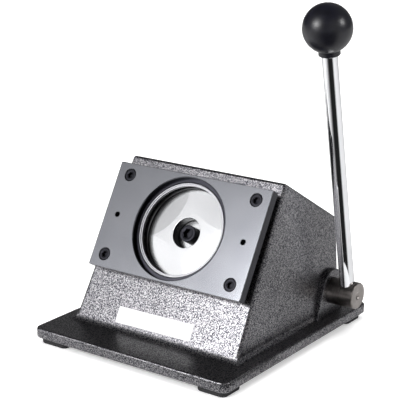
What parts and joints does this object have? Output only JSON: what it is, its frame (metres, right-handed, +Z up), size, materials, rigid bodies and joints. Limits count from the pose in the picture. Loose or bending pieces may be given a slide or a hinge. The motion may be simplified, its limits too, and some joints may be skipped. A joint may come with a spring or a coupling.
{
  "type": "button badge paper punch",
  "caption": "Bench-top hand-lever punch that cuts round paper blanks for button badges through an inclined die plate.",
  "frame": {"origin": "middle of the machine's floor outline, on the surface the rubber feet stand on", "axes": "+X to the operator's right, towards the lever; -Y towards the operator; +Z up"},
  "size_m": [0.2234, 0.2266, 0.2957],
  "materials": {
    "hammer_paint": "dark and silver hammer-finish enamel on a casting",
    "ground_steel": "satin ground steel plate",
    "die_steel": "hardened and ground tool steel",
    "punch_steel": "polished punch face",
    "black_oxide": "black oxide screws",
    "shaft_steel": "dark oiled turned steel",
    "chrome": "bright chrome plate",
    "black_plastic": "polished black phenolic",
    "rubber": "matt black rubber",
    "spring_steel": "bright drawn spring wire",
    "cast_iron": "machined cast iron, oiled",
    "white_film": "blank white self-adhesive film"
  },
  "bodies": {
    "stand": {"base_plate": "hammer_paint", "housing": "hammer_paint", "foot_front_left": "rubber", "foot_screw_front_left": "black_oxide", "base_screw_front_left": "black_oxide", "foot_front_right": "rubber", "foot_screw_front_right": "black_oxide", "base_screw_front_right": "black_oxide", "foot_rear_left": "rubber", "foot_screw_rear_left": "black_oxide", "base_screw_rear_left": "black_oxide", "foot_rear_right": "rubber", "foot_screw_rear_right": "black_oxide", "base_screw_rear_right": "black_oxide", "die_plate": "ground_steel", "die_ring": "die_steel", "punch_guide": "die_steel", "plate_screw_lower_left": "black_oxide", "slot_spacer_lower_left": "ground_steel", "plate_screw_lower_right": "black_oxide", "slot_spacer_lower_right": "ground_steel", "plate_screw_upper_left": "black_oxide", "slot_spacer_upper_left": "ground_steel", "plate_screw_upper_right": "black_oxide", "slot_spacer_upper_right": "ground_steel", "dowel_left": "die_steel", "guide_post_left": "die_steel", "return_spring_left": "spring_steel", "dowel_right": "die_steel", "guide_post_right": "die_steel", "return_spring_right": "spring_steel", "label": "white_film"},
    "lever": {"drive_shaft": "shaft_steel", "cam": "cast_iron", "cam_pin": "die_steel", "shaft_end_washer": "die_steel", "shaft_end_screw": "black_oxide", "lever_rod": "chrome", "ball_knob": "black_plastic"},
    "ram": {"ram": "cast_iron", "punch": "punch_steel", "punch_washer": "punch_steel", "punch_screw": "black_oxide"}
  },
  "joints": [
    {"name": "lever_hinge", "type": "hinge", "parent": "stand", "child": "lever", "pos_m": [-0.0118, 0.07055, 0.0358], "axis": [1, 0, 0], "range_deg": [0, 70], "stiffness_Nm_per_rad": 0.5, "springref_deg": -57.3},
    {"name": "ram_slide", "type": "slide", "parent": "stand", "child": "ram", "axis": [0, -0.866, 0.5], "range_m": [0, 0.00953], "deforming": ["return_spring_left", "return_spring_right"]}
  ],
  "couplings": [
    {"joint": "ram_slide", "follows": "lever_hinge", "m_per_rad": 0.0078}
  ]
}
